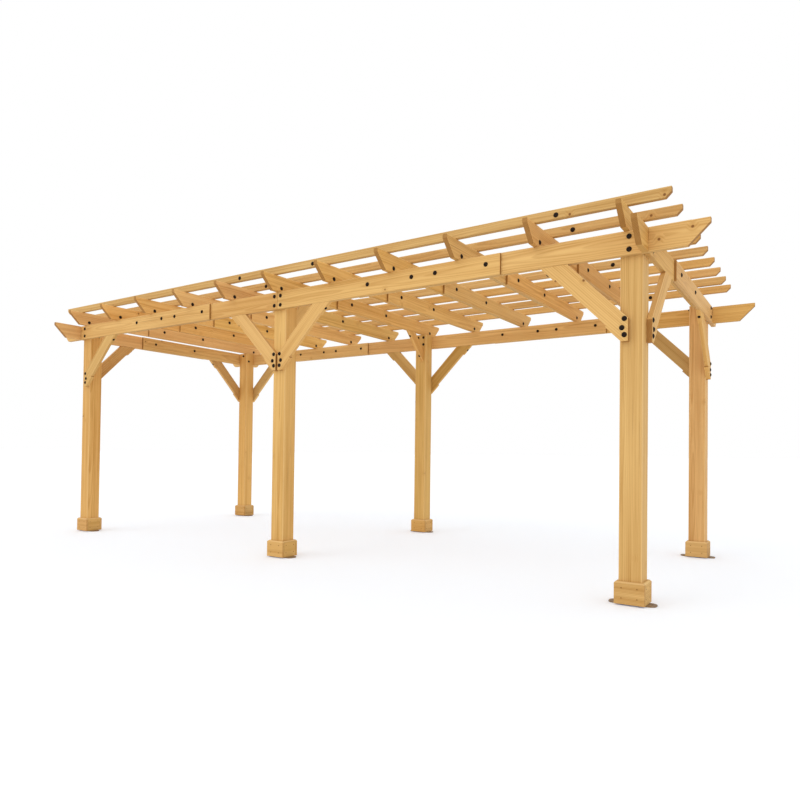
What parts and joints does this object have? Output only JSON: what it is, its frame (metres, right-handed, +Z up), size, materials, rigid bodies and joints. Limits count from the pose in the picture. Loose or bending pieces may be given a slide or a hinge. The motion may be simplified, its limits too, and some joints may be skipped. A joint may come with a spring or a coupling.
{
  "type": "wooden pergola",
  "caption": "Open wooden pergola: square posts on anchor plates carry lapped beams, knee braces, crossing rafters and purlins over a walk-through space.",
  "frame": {"origin": "on the ground at the middle of the footprint", "axes": "+X along the long side to the right, -Y the front, +Z up"},
  "size_m": [6.8704, 3.1064, 2.51],
  "materials": {
    "post_wood": "light oiled softwood, visible grain and knots",
    "trim_wood": "light oiled softwood, visible grain and knots",
    "beam_wood": "light oiled softwood, visible grain and knots",
    "rafter_wood": "light oiled softwood, visible grain and knots",
    "purlin_wood": "light oiled softwood, visible grain and knots",
    "brace_wood": "light oiled softwood, visible grain and knots",
    "plate_metal": "dark, matt"
  },
  "bodies": {
    "root": {"anchor_plate_back_left": "plate_metal", "anchor_plate_back_middle": "plate_metal", "anchor_plate_back_right": "plate_metal", "anchor_plate_front_left": "plate_metal", "anchor_plate_front_middle": "plate_metal", "anchor_plate_front_right": "plate_metal", "back_beam_left": "beam_wood", "back_beam_right": "beam_wood", "base_trim_back_left": "trim_wood", "base_trim_back_middle": "trim_wood", "base_trim_back_right": "trim_wood", "base_trim_front_left": "trim_wood", "base_trim_front_middle": "trim_wood", "base_trim_front_right": "trim_wood", "braces_back_left": "brace_wood", "braces_back_middle": "brace_wood", "braces_back_right": "brace_wood", "braces_front_left": "brace_wood", "braces_front_middle": "brace_wood", "braces_front_right": "brace_wood", "front_beam_left": "beam_wood", "front_beam_right": "beam_wood", "left_beam": "beam_wood", "post_back_left": "post_wood", "post_back_middle": "post_wood", "post_back_right": "post_wood", "post_front_left": "post_wood", "post_front_middle": "post_wood", "post_front_right": "post_wood", "purlin_1": "purlin_wood", "purlin_2": "purlin_wood", "purlin_3": "purlin_wood", "purlin_4": "purlin_wood", "purlin_5": "purlin_wood", "purlin_6": "purlin_wood", "purlin_7": "purlin_wood", "purlin_8": "purlin_wood", "purlin_9": "purlin_wood", "rafter_01": "rafter_wood", "rafter_02": "rafter_wood", "rafter_03": "rafter_wood", "rafter_04": "rafter_wood", "rafter_05": "rafter_wood", "rafter_06": "rafter_wood", "rafter_07": "rafter_wood", "rafter_08": "rafter_wood", "rafter_09": "rafter_wood", "rafter_10": "rafter_wood", "rafter_11": "rafter_wood", "right_beam": "beam_wood"}
  },
  "joints": []
}
